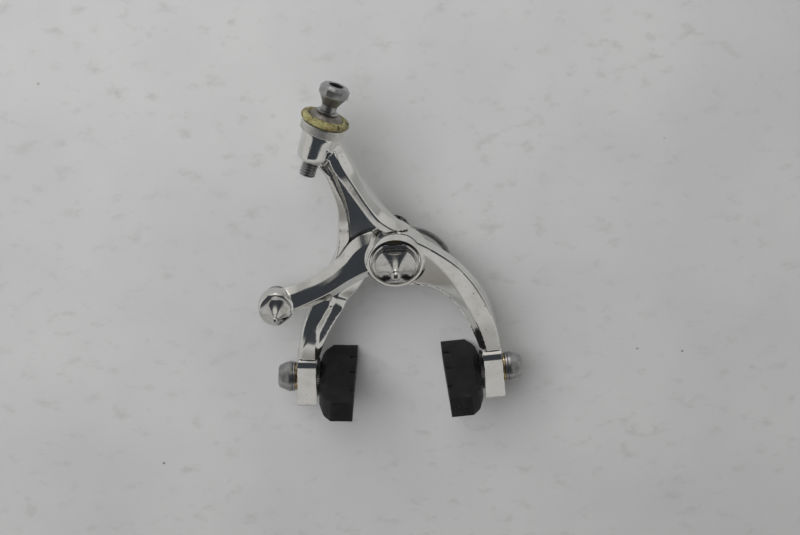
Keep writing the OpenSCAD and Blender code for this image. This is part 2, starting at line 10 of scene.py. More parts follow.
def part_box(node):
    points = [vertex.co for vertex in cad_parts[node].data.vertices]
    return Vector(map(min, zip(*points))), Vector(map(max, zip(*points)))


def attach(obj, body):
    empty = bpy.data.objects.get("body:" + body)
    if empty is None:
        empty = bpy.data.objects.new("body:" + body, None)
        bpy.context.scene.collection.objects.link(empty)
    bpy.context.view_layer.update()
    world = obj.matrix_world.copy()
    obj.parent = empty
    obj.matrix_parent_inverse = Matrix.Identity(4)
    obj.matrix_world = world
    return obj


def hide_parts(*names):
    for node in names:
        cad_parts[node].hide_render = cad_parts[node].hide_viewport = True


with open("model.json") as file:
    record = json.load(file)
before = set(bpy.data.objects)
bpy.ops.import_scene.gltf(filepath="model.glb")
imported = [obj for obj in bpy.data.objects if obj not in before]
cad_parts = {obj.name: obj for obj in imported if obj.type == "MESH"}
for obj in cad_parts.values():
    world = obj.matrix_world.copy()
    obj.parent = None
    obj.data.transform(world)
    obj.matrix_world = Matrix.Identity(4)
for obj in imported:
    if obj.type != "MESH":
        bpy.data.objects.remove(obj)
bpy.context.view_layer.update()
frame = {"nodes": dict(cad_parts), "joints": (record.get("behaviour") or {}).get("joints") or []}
nodes = frame["nodes"]
joints = {joint["name"]: joint for joint in frame["joints"]}
mm = 0.001
turn = 2 * math.pi


# Small mesh helpers. Sizes are in millimetres, and meshes are made in metres.

def makeObject(name, verts, faces):
    mesh = bpy.data.meshes.new(name)
    mesh.from_pydata([Vector(v) * mm for v in verts], [], faces)
    mesh.validate()
    work = bmesh.new()
    work.from_mesh(mesh)
    bmesh.ops.remove_doubles(work, verts=work.verts, dist=1e-7)
    bmesh.ops.recalc_face_normals(work, faces=work.faces)
    work.to_mesh(mesh)
    work.free()
    piece = bpy.data.objects.new(name, mesh)
    bpy.context.scene.collection.objects.link(piece)
    return piece


def shade(piece, angle=32):
    piece.data.shade_smooth()
    piece.data.set_sharp_from_angle(angle=math.radians(angle))
    return piece


def dropPiece(piece):
    mesh = piece.data
    bpy.data.objects.remove(piece)
    bpy.data.meshes.remove(mesh)


def applyModifiers(piece):
    depsgraph = bpy.context.evaluated_depsgraph_get()
    mesh = bpy.data.meshes.new_from_object(piece.evaluated_get(depsgraph))
    piece.modifiers.clear()
    old = piece.data
    piece.data = mesh
    bpy.data.meshes.remove(old)
    return piece


def joinPieces(name, pieces):
    work = bmesh.new()
    for piece in pieces:
        work.from_mesh(piece.data)
        dropPiece(piece)
    mesh = bpy.data.meshes.new(name)
    work.to_mesh(mesh)
    work.free()
    piece = bpy.data.objects.new(name, mesh)
    bpy.context.scene.collection.objects.link(piece)
    return piece


def melt(piece, voxel, rounds):
    # one skin over all parts of a piece, with its corners softened
    remesh = piece.modifiers.new("remesh", "REMESH")
    remesh.mode = "VOXEL"
    remesh.voxel_size = voxel * mm
    if rounds:
        smooth = piece.modifiers.new("smooth", "SMOOTH")
        smooth.factor = 0.5
        smooth.iterations = rounds
    return applyModifiers(piece)


def cut(piece, cutters, operation="DIFFERENCE"):
    for cutter in cutters:
        boolean = piece.modifiers.new("cut", "BOOLEAN")
        boolean.operation = operation
        boolean.solver = "MANIFOLD"
        boolean.object = cutter
    applyModifiers(piece)
    for cutter in cutters:
        dropPiece(cutter)
    return piece


def bevelEdges(piece, width, angle=30, segments=2):
    bevel = piece.modifiers.new("bevel", "BEVEL")
    bevel.width = width * mm
    bevel.segments = segments
    bevel.limit_method = "ANGLE"
    bevel.angle_limit = math.radians(angle)
    bevel.use_clamp_overlap = True
    return applyModifiers(piece)


# Places: each one is a matrix from a piece's own space, in millimetres, to the frame

def place(origin, zAxis, xHint=(1, 0, 0)):
    z = Vector(zAxis).normalized()
    y = z.cross(Vector(xHint)).normalized()
    x = y.cross(z)
    matrix = Matrix((x, y, z)).transposed().to_4x4()
    matrix.translation = Vector(origin)
    return matrix


def jointPlace(name, xHint=(1, 0, 0)):
    joint = joints[name]
    return place(Vector(joint["pos_m"]) / mm, joint["axis"], xHint)


def spun(name, profile, where, segments=96, closed=False, shape=None):
    # shape may change a point's radius by its angle and height
    verts, faces = [], []
    count = len(profile)
    for i in range(segments):
        angle = turn * i / segments
        for radius, height in profile:
            r = shape(radius, angle, height) if shape and radius > 0 else radius
            verts.append(where @ Vector((r * math.cos(angle), r * math.sin(angle), height)))
    last = count if closed else count - 1
    for i in range(segments):
        for k in range(last):
            a = i * count + k
            b = i * count + (k + 1) % count
            c = (i + 1) % segments * count + (k + 1) % count
            d = (i + 1) % segments * count + k
            faces.append((a, b, c, d))
    return makeObject(name, verts, faces)


def rounded(profile, radius, steps=3):
    # rounds the inner corners of an open profile with short arcs
    result = [profile[0]]
    for before, corner, after in zip(profile, profile[1:], profile[2:]):
        corner = Vector(corner)
        toBefore, toAfter = Vector(before) - corner, Vector(after) - corner
        reach = min(radius, toBefore.length * 0.45, toAfter.length * 0.45)
        start = corner + toBefore.normalized() * reach
        end = corner + toAfter.normalized() * reach
        for k in range(steps + 1):
            t = k / steps
            result.append(tuple(start * (1 - t) ** 2 + corner * 2 * t * (1 - t) + end * t * t))
    result.append(profile[-1])
    return result


def prism(name, outline, low, high, where, axis=0):
    # an outline of two local coordinates, drawn out along the third one
    def point(pair, level):
        row = list(pair)
        row.insert(axis, level)
        return where @ Vector(row)
    count = len(outline)
    verts = [point(pair, level) for level in (low, high) for pair in outline]
    faces = [tuple(range(count)), tuple(range(2 * count - 1, count - 1, -1))]
    faces += [(k, (k + 1) % count, (k + 1) % count + count, k + count) for k in range(count)]
    return makeObject(name, verts, faces)


def catmull(a, b, c, d, t):
    square, cube = 2 * a - 5 * b + 4 * c - d, 3 * b - a - 3 * c + d
    return 0.5 * (2 * b + (c - a) * t + square * t * t + cube * t ** 3)


def smoothed(stations, steps):
    result = []
    last = len(stations) - 1
    for i in range(last):
        near = [stations[max(0, min(last, i + k))] for k in (-1, 0, 1, 2)]
        for k in range(steps):
            result.append([catmull(*column, k / steps) for column in zip(*near)])
    result.append(list(stations[-1]))
    return result


def limb(name, stations, steps=14):
    # station: x, z, half width, then pairs round the section: share of the half width, depth
    rows = [[x, z, half] + [n for pair in section for n in pair] for x, z, half, section in stations]
    path = smoothed(rows, steps)
    verts, faces = [], []
    count = (len(path[0]) - 3) // 2
    for i, station in enumerate(path):
        x, z, half = station[:3]
        before, after = path[max(0, i - 1)], path[min(len(path) - 1, i + 1)]
        heading = Vector((after[0] - before[0], after[1] - before[1])).normalized()
        for k in range(count):
            across, depth = station[3 + 2 * k] * half, station[4 + 2 * k]
            verts.append((x - heading.y * across, -depth, z + heading.x * across))
    for i in range(len(path) - 1):
        for k in range(count):
            a, b = i * count + k, i * count + (k + 1) % count
            faces.append((a, b, b + count, a + count))
    faces.append(tuple(range(count)))
    faces.append(tuple(range((len(path) - 1) * count, len(path) * count)))
    return makeObject(name, verts, faces)


print("stage: helpers ready")


# Main places, read from the frame

def depths(node):
    low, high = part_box(node)
    return -high.y / mm, -low.y / mm


def middle(node):
    low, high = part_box(node)
    return (low + high) / 2 / mm


rearHubBack = depths("rear_pivot_washer")[1]
rearHubFront = depths("middle_pivot_washer")[0]
frontHubBack = depths("middle_pivot_washer")[1]
sinkFloor = depths("front_pivot_washer")[0]
lockBack = depths("lock_ring")[0]
noseBack = depths("nose_nut")[0]
faceDepth = sinkFloor + 2.4
hubFace = faceDepth - 0.3
armFront = faceDepth - 0.7
m6Bore = 3.06  # inner radius of what sits round an M6 stud
anchorX, anchorZ = middle("anchor_nut").x, middle("anchor_nut").z
boltPlace = place((0, 0, 0), (0, -1, 0))
anchorPlace = place((anchorX, 0, anchorZ), (0, -1, 0))
adjusterPlace = jointPlace("adjuster_nut_turn")


def eyePlace(side):
    # origin on the stud in the eye's inner face: x towards the middle, y to the front, z up along the eye
    joint = joints[side + "_shoe_swivel"]
    inward = Vector(joint["axis"])
    if inward.x * joint["pos_m"][0] > 0:
        inward = -inward
    forward = Vector((0, -1, 0))
    up = inward.cross(forward)
    if up.z < 0:
        up = -up
    matrix = Matrix((inward, forward, up)).transposed().to_4x4()
    matrix.translation = Vector(joint["pos_m"]) / mm
    return matrix


eyePlaces = {"left": eyePlace("left"), "right": eyePlace("right")}
eyeDepth = -joints["left_shoe_swivel"]["pos_m"][1] / mm


# The two arms: drawn limbs, hubs, bosses and eyes melted into one skin, then bored

armLook = {
    "voxel": 0.3,
    "rounds": 4,
    "hubRadius": 12.8,
    "rearHubRadius": 12.6,
    "crownRadius": 9.1,
    "nestRadius": 12.95,
    "pivotBore": 4.05,
    "sinkRadius": 9.2,
    "bossRadius": 6.5,
    "bossLength": 11.0,
    "anchorBossRadius": 6.8,
    "eyeWidth": 7.6,
    "eyeHeight": 21.0,
    "eyeDepth": 11.0,
    "slotWidth": 6.4,
    "slotTravel": 3.6,
    "spotRadius": 8.0,
    "eyeRound": 3.2,
    "pegRadius": 1.8,
    "anchorBore": 2.6,
    "adjusterBore": 3.05,
    "crownCentre": (0.6, 0, 3.5),
}
eyeFront = eyeDepth + armLook["eyeDepth"] / 2
eyeBack = eyeDepth - armLook["eyeDepth"] / 2


def eyeBlock(name, side):
    # seen from the side: round at the front above, nearly square elsewhere
    half, deep, radius = armLook["eyeHeight"] / 2, armLook["eyeDepth"] / 2, armLook["eyeRound"]
    outline = [(-deep, half - 1.5), (-deep + 1, half - 0.4)]
    for degrees in range(0, 91, 10):
        a = math.radians(degrees)
        outline.append((deep - radius + radius * math.sin(a), half - radius + radius * math.cos(a)))
    outline += [(deep, -half + 0.5), (deep - 0.5, -half), (-deep + 0.5, -half), (-deep, -half + 0.5)]
    return prism(name, outline, 0, -armLook["eyeWidth"], eyePlaces[side])


def stadium(radius, run):
    # a slot's outline: half circles at the two ends of a straight run
    outline = []
    for first, centre in ((0, run), (180, -run)):
        for degrees in range(first, first + 181, 10):
            a = math.radians(degrees)
            outline.append((radius * math.cos(a), centre + radius * math.sin(a)))
    return outline


def eyeCutters(side):
    # the slot for the pad stud, and the spot face that the serrated washer slides on
    look = armLook
    slot = stadium(look["slotWidth"] / 2, look["slotTravel"])
    spot = stadium(look["spotRadius"], look["slotTravel"])
    return [
        prism("slotCutter", slot, 1, -look["eyeWidth"] - 1, eyePlaces[side]),
        prism("spotCutter", spot, 0.0, 7, eyePlaces[side]),
    ]


def boreCutter(radius, low, high, where=boltPlace, chamfer=0.35):
    profile = [
        (0, low), (radius, low), (radius, high - chamfer), (radius + chamfer + 3, high + 3), (0, high + 3),
    ]
    return spun("boreCutter", profile, where)


def anchorSection(ridge, edge, front):
    # a = -1 is the limb's upper edge: steep upper side, narrow front band, lower side
    back = frontHubBack
    return [
        (-1, back + 0.3), (-0.62, front - 1.9), (ridge, front - 0.6), (edge, front),
        (0.93, front - 2.4), (1, front - 3.4), (0.97, back + 0.8), (0.8, back), (-0.9, back),
    ]


def rightSection(ridge, fall, front, back):
    # a = 1 is the outer edge: flat outer face, ridge, bevel falling to the inner lip
    return [
        (1, back + 0.9), (1, front - 0.7), (0.95, front), (ridge, front), (-0.8, front - fall),
        (-0.88, front - fall - 0.5), (-1, front - fall - 0.2), (-1, back + 0.9), (-0.8, back), (0.8, back),
    ]


def rearSection(back, left, leftEnd, floor, floorEnd, wallTop, right, leftFall=0.0, rightFall=0.0):
    # a = -1 is the outer edge: left flat, pocket floor, wall, right flat
    return [
        (-1, back + 1.4), (-1, left - leftFall - 0.7), (-0.93, left - leftFall), (leftEnd, left),
        (leftEnd + 0.04, floor), (floorEnd, floor), (wallTop, right), (0.93, right - rightFall),
        (1, right - rightFall - 0.8), (1, back + 1.4), (0.8, back), (-0.8, back),
    ]


def shoulderSection(front, back):
    # the right rib: flat top, then a steep outer side that catches the light
    return [(-1, back), (-1, front - 0.4), (-0.93, front), (0.1, front), (1, front - 3.6), (1, back)]


anchorLimb = [
    (2, 1, 11, anchorSection(0.3, 0.45, armFront + 0.4)),
    (-9, 1.2, 8.8, anchorSection(0.3, 0.5, armFront + 0.4)),
    (-17, -4.2, 6.0, anchorSection(-0.2, 0.4, armFront + 0.3)),
    (-26, -10.6, 5.2, anchorSection(-0.25, 0.35, armFront + 0.3)),
    (-35, -15, 5.1, anchorSection(-0.25, 0.35, armFront + 0.2)),
    (anchorX + 1, anchorZ + 0.3, 5.2, anchorSection(-0.3, 0.5, armFront)),
]
rightLimb = [
    (0, 0, 12, rightSection(0.7, 2.4, armFront + 0.4, frontHubBack)),
    (9.5, -3.4, 9.6, rightSection(0.6, 3.4, armFront + 0.4, frontHubBack)),
    (17.4, -7.8, 7.6, rightSection(0.25, 3.8, armFront + 0.2, frontHubBack)),
    (23.4, -13.8, 6.3, rightSection(-0.1, 3.6, armFront, frontHubBack - 1)),
    (28, -21.2, 5.5, rightSection(-0.3, 3.2, armFront, eyeBack + 1.2)),
    (31.5, -29.4, 4.9, rightSection(-0.36, 2.6, armFront - 0.3, eyeBack + 0.6)),
    (33.8, -37.4, 4.3, rightSection(-0.4, 1.8, armFront - 1.2, eyeBack + 0.6)),
    (35, -45, 3.5, rightSection(-0.4, 0.8, armFront - 2.2, eyeBack + 0.8)),
]
rearLimb = [
    (-24.2, 43.5, 3.5, rearSection(6.6, 16.3, -0.6, 16.0, -0.4, -0.2, 16.4)),
    (-22.2, 40.8, 3.7, rearSection(6.4, 16.4, -0.6, 9.4, -0.1, 0.1, 14)),
    (-19.4, 36.6, 4.1, rearSection(6.2, 16.2, -0.6, 8.5, 0.3, 0.6, 13)),
    (-16.8, 29.6, 4.7, rearSection(6, 15.2, -0.58, 9.1, 0.7, 0.8, 12)),
    (-14.2, 22.4, 6, rearSection(5.9, 13.4, -0.54, 9.8, 0.8, 0.9, 11.4)),
    (-12.8, 15, 7.4, rearSection(5.9, 11.6, -0.5, 10.5, 0.85, 0.9, 11.2)),
    (-13, 7.5, 7.6, rearSection(5.8, 11.4, -0.45, 11.0, 0.85, 0.9, 11.1)),
    (-14.9, -1.5, 7.3, rearSection(5.8, 11.3, -0.4, 11.3, 0.85, 0.9, 11.3)),
    (-19.6, -10.5, 6.9, rearSection(5.8, 11.2, -0.4, 11.2, 0.6, 0.65, 11.2, 0.5)),
    (-23.4, -16.2, 6.4, rearSection(5.8, 11.2, -0.1, 11.2, 0.05, 0.25, 11.2, 1.2, 1.0)),
    (-25.4, -19.4, 6, rearSection(5.8, 14.2, -0.1, 14.2, 0.0, 0.3, 13.1, 1.2, 0.2)),
    (-28.2, -24.2, 5.6, rearSection(6, 15.3, -0.1, 15.3, 0.0, 0.3, 14.1, 1.2, 0.2)),
    (-30.8, -29.4, 5.2, rearSection(6.2, 16.0, -0.3, 16.0, 0.0, 0.35, 14.9, 1.1, 0.3)),
    (-33.4, -37, 4.5,
     rearSection(eyeBack + 0.6, eyeFront - 0.8, -0.6, eyeFront - 0.8, 0.4, 0.6, eyeFront - 1.2, 0.8, 1.0)),
    (-35, -45, 3.5,
     rearSection(eyeBack + 0.8, eyeFront - 2.2, -0.8, eyeFront - 2.2, 0.7, 0.8, eyeFront - 2.2)),
]
shoulder = [
    (-20.6, 45.4, 2.6, shoulderSection(12.8, 8.4)),
    (-18.7, 41.6, 3.1, shoulderSection(armFront - 1.2, 8.2)),
    (-16.5, 37.5, 3.1, shoulderSection(armFront + 0.1, 8)),
    (-12.8, 30.5, 2.8, shoulderSection(armFront + 0.2, 8)),
    (-9, 23.5, 2.6, shoulderSection(armFront + 0.3, 8)),
    (-5, 17.4, 2.7, shoulderSection(armFront + 0.4, 9)),
    (-0.4, 13.6, 2.4, shoulderSection(armFront + 0.4, 11)),
    (3.2, 12, 1.6, shoulderSection(armFront + 0.4, 11)),
    (5.6, 10.7, 0.9, shoulderSection(armFront + 0.3, 11)),
]


def springPeg(side, top):
    # the spring's end bears on it
    radius = armLook["pegRadius"]
    where = place((side * 22.2, 0, -13), (0, -1, 0))
    return spun("peg", [(0, 1), (radius, 1), (radius, top), (0, top)], where, 32)


def makeFrontArm():
    look = armLook
    hub, boss, crown = look["hubRadius"], look["anchorBossRadius"], look["crownRadius"]
    rim = look["sinkRadius"] + 0.9
    arm = joinPieces("front_arm_body", [
        limb("anchorLimb", anchorLimb),
        limb("rightLimb", rightLimb),
        spun("hub", [
            (0, frontHubBack), (hub, frontHubBack), (hub, frontHubBack + 0.8), (rim + 0.5, faceDepth - 0.7),
            (rim + 0.2, hubFace), (0, hubFace),
        ], boltPlace),
        spun("hubCrown", [
            (0, frontHubBack), (crown, frontHubBack), (crown, hubFace), (0, hubFace),
        ], place(look["crownCentre"], (0, -1, 0))),
        spun("anchorBoss", rounded([
            (0, frontHubBack), (boss, frontHubBack), (boss, faceDepth), (0, faceDepth),
        ], 1.8), anchorPlace),
        eyeBlock("rightEye", "right"),
        springPeg(1, frontHubBack + 1),
    ])
    melt(arm, look["voxel"], look["rounds"])
    cut(arm, [
        boreCutter(look["pivotBore"], frontHubBack - 2, faceDepth + 2),
        boreCutter(look["sinkRadius"], sinkFloor, hubFace),
        boreCutter(look["anchorBore"], frontHubBack - 2, faceDepth + 2, anchorPlace),
    ] + eyeCutters("right"))
    return shade(arm)


def makeRearArm():
    look = armLook
    hub, boss, length = look["rearHubRadius"], look["bossRadius"], look["bossLength"]
    wrap = limb("shoulder", shoulder)
    cut(wrap, [spun("nest", [
        (0, rearHubFront), (look["nestRadius"], rearHubFront),
        (look["nestRadius"], faceDepth + 3), (0, faceDepth + 3),
    ], boltPlace)])
    arm = joinPieces("rear_arm_body", [
        limb("rearLimb", rearLimb),
        wrap,
        spun("rearHub", [
            (0, rearHubBack), (9.4, rearHubBack), (10.6, rearHubBack + 1.2), (hub - 1, rearHubFront - 2.4),
            (hub, rearHubFront - 0.6), (hub, rearHubFront), (0, rearHubFront),
        ], boltPlace),
        spun("adjusterBoss", rounded([
            (0, -length), (boss - 0.7, -length), (boss, -1.5), (boss, 0), (0, 0),
        ], 2.4), adjusterPlace),
        eyeBlock("leftEye", "left"),
        springPeg(-1, rearHubBack + 3),
    ])
    melt(arm, look["voxel"], look["rounds"])
    cut(arm, [
        boreCutter(look["pivotBore"], rearHubBack - 2, rearHubFront + 2),
        boreCutter(look["adjusterBore"], -length - 3, 3, adjusterPlace, 0),
    ] + eyeCutters("left"))
    return shade(arm)


frontArm = makeFrontArm()
rearArm = makeRearArm()
print("stage: arms melted")


# The nose nut, the anchor nut and the ring round the nose nut, all with two wrench flats

noseLook = {
    "radius": 7.5, "across": 12.0, "band": 1.9, "cone": 5.2, "ball": 1.95,
    "bore": 3.6, "twist": 0, "bevel": 0.14,
}
anchorNutLook = {
    "radius": 5.85, "across": 9.5, "band": 1.7, "cone": 4.4, "ball": 1.25,
    "bore": 2.6, "twist": 45, "bevel": 0.14,
}
ringLook = {"radius": 8.7, "across": 15.8, "bore": 3.6, "chamfer": 0.45, "bevel": 0.12}


def cutFlats(piece, look, back, where):
    near, far = look["across"] / 2, look["across"] / 2 + 9
    outline = [(-20, back - 1), (20, back - 1), (20, back + 20), (-20, back + 20)]
    cut(piece, [prism("flat", outline, sign * near, sign * far, where, axis=1) for sign in (-1, 1)])
    bevelEdges(piece, look["bevel"], 28)
    return shade(piece, 40)


def conicalNut(name, look, where, back):
    # a band, a slightly hollow cone and a ball on its tip
    radius, band, cone, ball = look["radius"], look["band"], look["cone"], look["ball"]
    profile = [(0, back), (look["bore"], back), (radius - 0.3, back)]
    profile += [(radius, back + 0.3), (radius, back + band)]
    for t in (0.12, 0.3, 0.5, 0.7, 0.88, 1):
        hollow = 0.35 * math.sin(math.pi * t)
        profile.append((radius * (1 - 0.7 * t) - hollow, back + band + cone * 0.9 * t))
    centre = back + band + cone + ball * 0.6
    start = math.radians(-28)
    for k in range(9):
        a = start + (math.pi / 2 - start) * k / 9
        profile.append((ball * math.cos(a), centre + ball * math.sin(a)))
    profile.append((0, centre + ball))
    nut = spun(name, profile, where, 96)
    return cutFlats(nut, look, back, where @ Matrix.Rotation(math.radians(look["twist"]), 4, "Z"))


def makeLockRing():
    look, back, front = ringLook, lockBack, noseBack
    radius, bore, chamfer = look["radius"], look["bore"], look["chamfer"]
    ring = spun("lock_ring_turned", [
        (bore, back), (radius, back), (radius, front - chamfer), (radius - chamfer, front), (bore, front),
    ], boltPlace, 128, closed=True)
    return cutFlats(ring, look, back, boltPlace)


noseNut = conicalNut("nose_nut_turned", noseLook, boltPlace, noseBack)
anchorNut = conicalNut("anchor_nut_turned", anchorNutLook, anchorPlace, depths("anchor_nut")[0])
lockRing = makeLockRing()
print("stage: nuts turned")


# The adjuster: knurled nut, aged rubber ring, domed cap, barrel with a faceted head and a real thread

adjusterLook = {
    "nutRadius": 7.8, "nutHeight": 3.5, "knurls": 88, "knurlDepth": 0.09,
    "ringRadius": 7.3, "ringThick": 1.5, "hubRadius": 5.75,
    "capBack": 5.66, "capHeight": 1.9, "capRadius": 6.1,
    "threadRadius": 2.95, "threadDepth": 0.55, "pitch": 1.0, "threadEnd": -16.6,
    "headRadius": 5.3, "facets": 12, "cableRadius": 1.1, "housingRadius": 2.6,
}


def makeAdjusterNut():
    look = adjusterLook
    radius, height, low = look["nutRadius"], look["nutHeight"], look["capBack"]

    def knurl(r, angle, level):
        if r < radius - 0.05:
            return r
        share = 1 if 0.6 < level < height - 0.7 else 0
        return r - look["knurlDepth"] * (0.5 + 0.5 * math.cos(look["knurls"] * angle)) * share

    return shade(spun("adjuster_nut_knurled", [
        (m6Bore, 0.02), (radius - 0.7, 0.02), (radius - 0.25, 0.12), (radius, 0.45), (radius, 0.62),
        (radius, 0.8), (radius, height - 0.9), (radius, height - 0.72), (radius, height - 0.4),
        (radius - 0.2, height - 0.1), (radius - 0.6, height),
        (look["hubRadius"], height), (look["hubRadius"], low), (m6Bore, low),
    ], adjusterPlace, 440, closed=True, shape=knurl), 50)


def makeRubberRing():
    # lies a little unevenly, and is swollen with age
    look = adjusterLook
    verts, faces, count, around = [], [], 28, 180
    for i in range(around):
        angle = turn * i / around
        for k in range(count):
            a = turn * k / count
            spot = Vector((math.cos(angle) * 4, math.sin(angle) * 4, a * 1.3))
            r = look["ringThick"] * (1 + 0.035 * noise(spot) + 0.03 * noise(spot * 3.1))
            out = look["ringRadius"] + r * math.cos(a) * 0.98
            lift = look["nutHeight"] + 1.52 + r * math.sin(a) * 0.95 + 0.05 * math.sin(angle * 2 + 1)
            verts.append(adjusterPlace @ Vector((out * math.cos(angle), out * math.sin(angle), lift)))
    for i in range(around):
        for k in range(count):
            a, b = i * count + k, i * count + (k + 1) % count
            c, d = (i + 1) % around * count + (k + 1) % count, (i + 1) % around * count + k
            faces.append((a, b, c, d))
    return shade(makeObject("adjuster_rubber_ring", verts, faces), 60)


def makeCap():
    look = adjusterLook
    low, high, radius = look["capBack"], look["capBack"] + look["capHeight"], look["capRadius"]
    profile = [(m6Bore, low), (radius - 0.3, low), (radius, low + 0.25), (radius - 0.05, low + 0.5)]
    for t in (0.15, 0.35, 0.55, 0.75, 1):
        rise = (high - low - 0.55) * math.sin(t * math.pi / 2)
        profile.append((radius - 0.2 - 2.1 * t, low + 0.55 + rise))
    profile += [(3.3, high), (m6Bore, high - 0.15)]
    return shade(spun("adjuster_cap_domed", profile, adjusterPlace, 96, closed=True), 50)


def thread(name, radius, depth, pitch, low, high, where, core=0.0):
    # a real helix: the radius follows the thread's ridge round and up; core is a bore right through
    rows, around = int((high - low) / pitch * 10), 48
    verts, faces = [], []
    for j in range(rows + 1):
        level = low + (high - low) * j / rows
        fade = min(1, (level - low) / 0.6 + 0.35)
        for i in range(around):
            phase = ((level - low) / pitch - i / around) % 1
            dip = min(1, max(0, abs(phase - 0.5) * 2 * 1.3 - 0.12))
            r = radius * (0.86 + 0.14 * fade) - depth * dip
            angle = turn * i / around
            verts.append(where @ Vector((r * math.cos(angle), r * math.sin(angle), level)))
    for j in range(rows):
        for i in range(around):
            a, b = j * around + i, j * around + (i + 1) % around
            faces.append((a, b, b + around, a + around))
    if core:
        for level in (low, high):
            for i in range(around):
                angle = turn * i / around
                verts.append(where @ Vector((core * math.cos(angle), core * math.sin(angle), level)))
        base = (rows + 1) * around
        for i in range(around):
            j = (i + 1) % around
            faces.append((i, j, base + j, base + i))
            faces.append((rows * around + i, rows * around + j, base + around + j, base + around + i))
            faces.append((base + i, base + j, base + around + j, base + around + i))  # wall of the bore
    else:
        faces.append(tuple(range(around)))
        faces.append(tuple(range(rows * around, (rows + 1) * around)))
    return makeObject(name, verts, faces)


def makeBarrel():
    look = adjusterLook
    collar = look["capBack"] + look["capHeight"]
    neck, cone = collar + 0.9, collar + 3.1
    band, top = cone + 3.9, cone + 7.2
    radius, cable, housing = look["headRadius"], look["cableRadius"], look["housingRadius"]

    def facet(r, angle, level):
        if level < cone + 0.4 or r < 2.8:
            return r
        step = turn / look["facets"]
        inner = math.cos(step / 2) / math.cos((angle % step) - step / 2)
        share = min(1, (level - cone) / 1.6)
        return r * (1 - share + share * inner)

    head = spun("head", [
        (cable, collar), (3.5, collar), (3.85, collar + 0.2), (3.85, collar + 0.7), (3.5, neck), (2.8, neck),
        (2.8, cone - 0.2), (3.0, cone + 0.2), (3.6, cone + 1.2), (4.5, cone + 2.7),
        (radius - 0.1, band - 0.3), (radius, band), (radius, top - 1.2), (radius - 0.25, top - 0.75),
        (radius - 0.9, top - 0.15), (radius - 1.4, top), (housing + 0.05, top), (housing, top - 0.1),
        (housing, top - 8), (cable, top - 8),
    ], adjusterPlace, 144, closed=True, shape=facet)
    screw = thread("screw", look["threadRadius"], look["threadDepth"], look["pitch"], look["threadEnd"],
                   collar - 0.3, adjusterPlace, core=cable)
    return shade(joinPieces("adjuster_barrel_threaded", [head, screw]), 24)


adjusterNut = makeAdjusterNut()
rubberRing = makeRubberRing()
adjusterCap = makeCap()
adjusterBarrel = makeBarrel()
print("stage: adjuster made")


# Behind the arms: the toothed washer, the return spring and the centre bolt

toothedLook = {"radius": 5.8, "teeth": 13, "toothDepth": 0.95}
springLook = {
    "wireRadius": 0.97, "depth": 2.3, "endShare": 0.8,
    "half": [
        (0, 5.35), (5, 5.35), (8.4, 4.7), (12, 3.3), (15.8, 0.3), (18.8, -3.6), (19.7, -8), (19.3, -13.6),
    ],
}
boltLook = {"pinRadius": 4, "noseRadius": 3.5, "shankRadius": 3, "grooveRadius": 2.45, "threadRadius": 2.95}


def makeToothedWasher():
    look, (back, front) = toothedLook, depths("toothed_washer")
    radius = look["radius"]

    def tooth(r, angle, level):
        share = (angle / turn * look["teeth"]) % 1
        notch = max(0, 1 - abs(share - 0.5) / 0.2)
        return r - look["toothDepth"] * notch if r > 5 and level > back + 0.75 else r

    washer = spun("toothed_washer_cut", [
        (m6Bore, back), (radius, back), (radius + 0.1, back + 0.15), (radius + 0.1, back + 0.68),
        (radius, back + 0.8), (radius, front - 0.6), (radius - 0.3, front - 0.3), (radius - 0.9, front),
        (m6Bore, front),
    ], boltPlace, 208, closed=True, shape=tooth)
    return shade(washer, 28)


def makeSpring():
    # one bent wire, the same on both sides
    look = springLook
    half, depth = look["half"], look["depth"]
    path = smoothed([(-x, z) for x, z in half[:0:-1]] + half, 8)
    verts, faces, count = [], [], 16
    for i, (x, z) in enumerate(path):
        before, after = path[max(0, i - 1)], path[min(len(path) - 1, i + 1)]
        heading = Vector((after[0] - before[0], after[1] - before[1])).normalized()
        for k in range(count):
            a = turn * k / count
            r = look["wireRadius"] * (look["endShare"] if i in (0, len(path) - 1) else 1)
            across = r * math.cos(a)
            verts.append((x - heading.y * across, -depth - r * math.sin(a), z + heading.x * across))
    for i in range(len(path) - 1):
        for k in range(count):
            a, b = i * count + k, i * count + (k + 1) % count
            faces.append((a, b, b + count, a + count))
    faces.append(tuple(range(count)))
    faces.append(tuple(range((len(path) - 1) * count, len(path) * count)))
    return shade(makeObject("return_spring_wire", verts, faces), 50)


def makeBolt():
    # pivot pin, shank with a turned groove, and the threaded end behind the seat
    look, (end, front) = boltLook, depths("centre_bolt")
    wide, narrow = look["pinRadius"], look["noseRadius"]
    shank, groove = look["shankRadius"], look["grooveRadius"]
    pin = spun("pin", rounded([
        (0, -8.9), (groove, -8.9), (groove, -8.3), (shank - 0.02, -8.2), (shank, 0), (wide, 0),
        (wide, lockBack), (narrow, lockBack), (narrow, front), (0, front),
    ], 0.15), boltPlace, 64)
    screw = thread("screw", look["threadRadius"], 0.4, 1.0, end, -8.6, boltPlace)
    return shade(joinPieces("centre_bolt_threaded", [pin, screw]), 30)


toothedWasher = makeToothedWasher()
spring = makeSpring()
bolt = makeBolt()
print("stage: spring and bolt made")


# Brake shoes. In a shoe's own space x is towards the middle, y to the front and z up.

shoeLook = {
    "padLength": 38.4, "padHeight": 8.6, "padThick": 14.4, "padForward": 3.7, "toe": 1.77,
    "grooveHalf": 0.7, "grooveDeep": 1.5,
    "serratedRadius": 7.5, "serratedThick": 1.1, "teeth": 48, "toothDepth": 0.35,
    "nutRadius": 5.9, "nutLength": 5.4, "studRadius": 3.0,
    "brassThick": 0.8, "steelThick": 1.0,
}


def acrossPlace(side):
    # z along the stud towards the middle
    where = eyePlaces[side]
    return place(where.translation, where.col[0].xyz, where.col[1].xyz)


